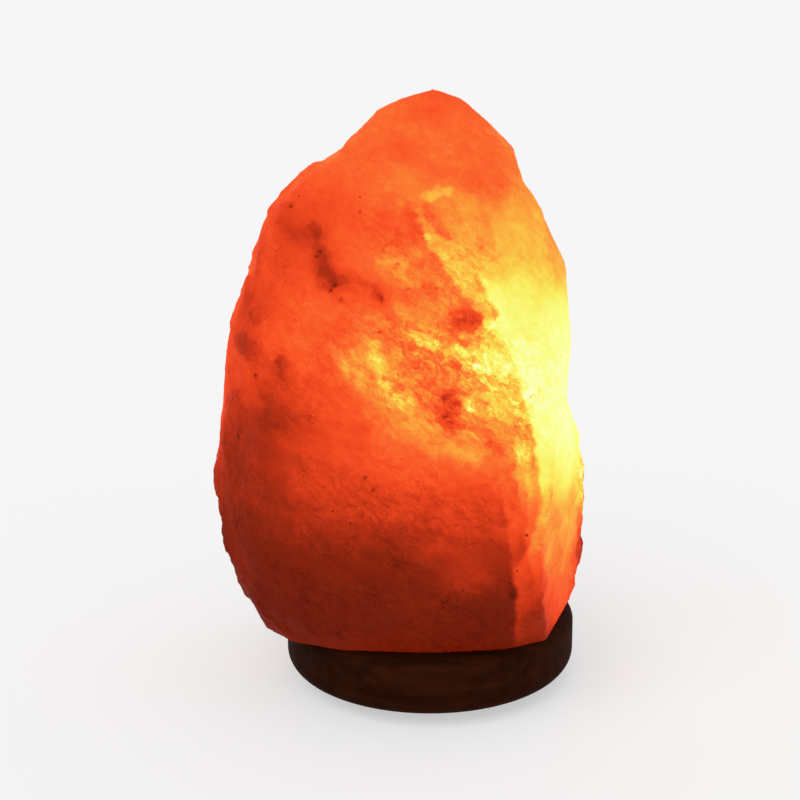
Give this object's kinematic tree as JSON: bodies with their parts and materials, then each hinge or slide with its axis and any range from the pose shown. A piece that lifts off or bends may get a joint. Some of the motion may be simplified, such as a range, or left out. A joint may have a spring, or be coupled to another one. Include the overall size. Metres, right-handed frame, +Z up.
{
  "type": "salt crystal lamp",
  "caption": "Table lamp: a hewn block of rock salt, lit by a small bulb in its hollow, on a round dark wooden base with a clip-in lampholder and rubber feet.",
  "frame": {"origin": "on the surface that the lamp stands on, at the axis of its round wooden base", "axes": "+Z up, +X to the lamp's right as pictured, -Y to its front, +Y to the back, where the cord channel leaves"},
  "size_m": [0.1586, 0.1283, 0.25],
  "materials": {
    "wood_dark": "satin",
    "salt": "satin",
    "zinc_steel": "satin",
    "spring_steel": "satin",
    "foot_rubber": "matte",
    "holder_plastic": "satin",
    "steatite": "matte",
    "brass_parts": "satin",
    "screw_steel": "satin",
    "cap_nickel": "polished",
    "solder": "satin",
    "black_glass": "gloss",
    "cement": "matte",
    "clear_glass": "gloss",
    "nickel_wire": "satin",
    "tungsten": "satin"
  },
  "bodies": {
    "base_and_crystal": {"wooden_base": "wood_dark", "salt_crystal": "salt", "crystal_screw_1": "zinc_steel", "crystal_washer_1": "zinc_steel", "crystal_screw_2": "zinc_steel", "crystal_washer_2": "zinc_steel", "crystal_screw_3": "zinc_steel", "crystal_washer_3": "zinc_steel", "rubber_foot_1": "foot_rubber", "foot_screw_1": "zinc_steel", "rubber_foot_2": "foot_rubber", "foot_screw_2": "zinc_steel", "rubber_foot_3": "foot_rubber", "foot_screw_3": "zinc_steel", "rubber_foot_4": "foot_rubber", "foot_screw_4": "zinc_steel"},
    "lampholder": {"bottom_cap": "holder_plastic", "holder_body": "holder_plastic", "holder_core": "steatite", "screw_shell": "brass_parts", "centre_contact": "brass_parts", "live_rivet": "brass_parts", "live_terminal": "brass_parts", "live_terminal_screw": "screw_steel", "neutral_rivet": "brass_parts", "neutral_terminal": "brass_parts", "neutral_terminal_screw": "screw_steel", "inlet_nipple": "zinc_steel", "nipple_nut": "zinc_steel", "clip_strap": "zinc_steel", "clip_rivet_left": "zinc_steel", "clip_rivet_right": "zinc_steel"},
    "wing_left": {"spring_wing_left": "spring_steel"},
    "wing_right": {"spring_wing_right": "spring_steel"},
    "bulb": {"cap_tip": "solder", "cap_insulator": "black_glass", "bulb_cap": "cap_nickel", "basing_cement": "cement", "bulb_glass": "clear_glass", "glass_stem": "clear_glass", "lead_wire_left": "nickel_wire", "lead_wire_right": "nickel_wire", "filament_support": "nickel_wire", "filament": "tungsten"}
  },
  "joints": [
    {"name": "lampholder_pull", "type": "slide", "parent": "base_and_crystal", "child": "lampholder", "axis": [0, 0, -1], "range_m": [0, 0.11]},
    {"name": "bulb_unscrew", "type": "hinge", "parent": "lampholder", "child": "bulb", "pos_m": [0, 0, 0.05], "axis": [0, 0, 1], "range_deg": [0, 1260]},
    {"name": "wing_left_flex", "type": "hinge", "parent": "lampholder", "child": "wing_left", "pos_m": [-0.0156, 0, 0.043], "axis": [0, -1, 0], "range_deg": [0, 5], "stiffness_Nm_per_rad": 0.4},
    {"name": "wing_right_flex", "type": "hinge", "parent": "lampholder", "child": "wing_right", "pos_m": [0.0156, 0, 0.043], "axis": [0, 1, 0], "range_deg": [0, 5], "stiffness_Nm_per_rad": 0.4}
  ]
}
